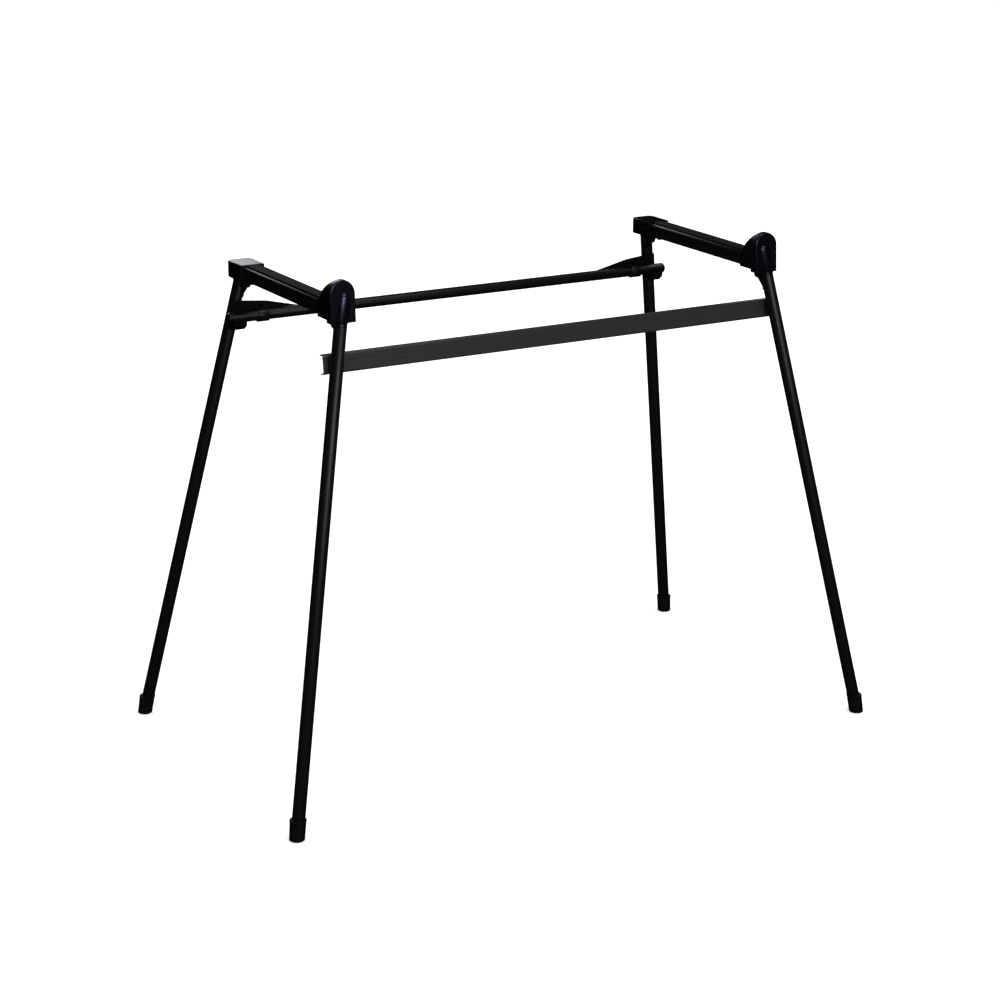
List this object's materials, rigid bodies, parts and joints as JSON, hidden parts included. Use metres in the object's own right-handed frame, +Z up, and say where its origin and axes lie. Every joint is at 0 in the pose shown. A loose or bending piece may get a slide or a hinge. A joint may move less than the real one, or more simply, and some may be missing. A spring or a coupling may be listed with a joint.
{
  "type": "keyboard stand",
  "caption": "Folding keyboard stand with splayed tube legs, side arms with tall rear stops, a round front rail and a channel crossbar at the rear.",
  "frame": {"origin": "on the floor, midway between the feet", "axes": "+X the player's right, along the keyboard; +Y to the rear, away from the player; +Z up"},
  "size_m": [1.0016, 0.5648, 0.759],
  "materials": {
    "black_coated_steel": "satin black powder coat on steel tube and plate",
    "grey_coated_steel": "satin dark grey powder coat on a pressed steel channel",
    "black_plastic": "fine-grained moulded plastic",
    "black_rubber": "matt moulded rubber",
    "black_fastener_steel": "black oxide on turned steel"
  },
  "bodies": {
    "top_frame": {"side_arm_right": "black_coated_steel", "side_arm_left": "black_coated_steel", "rear_head_right": "black_plastic", "rear_head_left": "black_plastic", "front_head_right": "black_plastic", "front_head_left": "black_plastic", "rest_pad_right": "black_rubber", "rest_pad_left": "black_rubber", "rear_hinge_bracket_right": "black_coated_steel", "rear_hinge_bracket_left": "black_coated_steel", "front_hinge_bracket_right": "black_coated_steel", "front_hinge_bracket_left": "black_coated_steel", "rear_hinge_pins": "black_fastener_steel", "front_hinge_pins": "black_fastener_steel", "hinge_bracket_screws": "black_fastener_steel", "head_screws": "black_fastener_steel"},
    "rear_frame": {"rear_leg_right": "black_coated_steel", "rear_leg_left": "black_coated_steel", "rear_leg_plug_right": "black_plastic", "rear_leg_plug_left": "black_plastic", "rear_hinge_tab_right": "black_coated_steel", "rear_hinge_tab_left": "black_coated_steel", "rear_foot_right": "black_rubber", "rear_foot_left": "black_rubber", "rear_crossbar": "grey_coated_steel", "crossbar_saddles": "black_coated_steel", "crossbar_bolts": "black_fastener_steel", "crossbar_nuts": "black_fastener_steel"},
    "front_frame": {"front_leg_right": "black_coated_steel", "front_leg_left": "black_coated_steel", "front_leg_plug_right": "black_plastic", "front_leg_plug_left": "black_plastic", "front_hinge_tab_right": "black_coated_steel", "front_hinge_tab_left": "black_coated_steel", "front_foot_right": "black_rubber", "front_foot_left": "black_rubber", "front_rail": "black_coated_steel", "rail_end_plug_right": "black_plastic", "rail_end_plug_left": "black_plastic", "rail_plate_right": "black_coated_steel", "rail_plate_left": "black_coated_steel", "rail_cradle_right": "black_plastic", "rail_cradle_left": "black_plastic", "rail_strap_right": "black_coated_steel", "rail_strap_left": "black_coated_steel", "rail_strap_screws": "black_fastener_steel", "rail_cradle_screws": "black_fastener_steel"}
  },
  "joints": [
    {"name": "rear_fold", "type": "hinge", "parent": "top_frame", "child": "rear_frame", "pos_m": [0, 0.14775, 0.694], "axis": [-1, 0, 0], "range_deg": [0, 74]},
    {"name": "front_fold", "type": "hinge", "parent": "top_frame", "child": "front_frame", "pos_m": [0, -0.14775, 0.694], "axis": [1, 0, 0], "range_deg": [0, 90]}
  ]
}
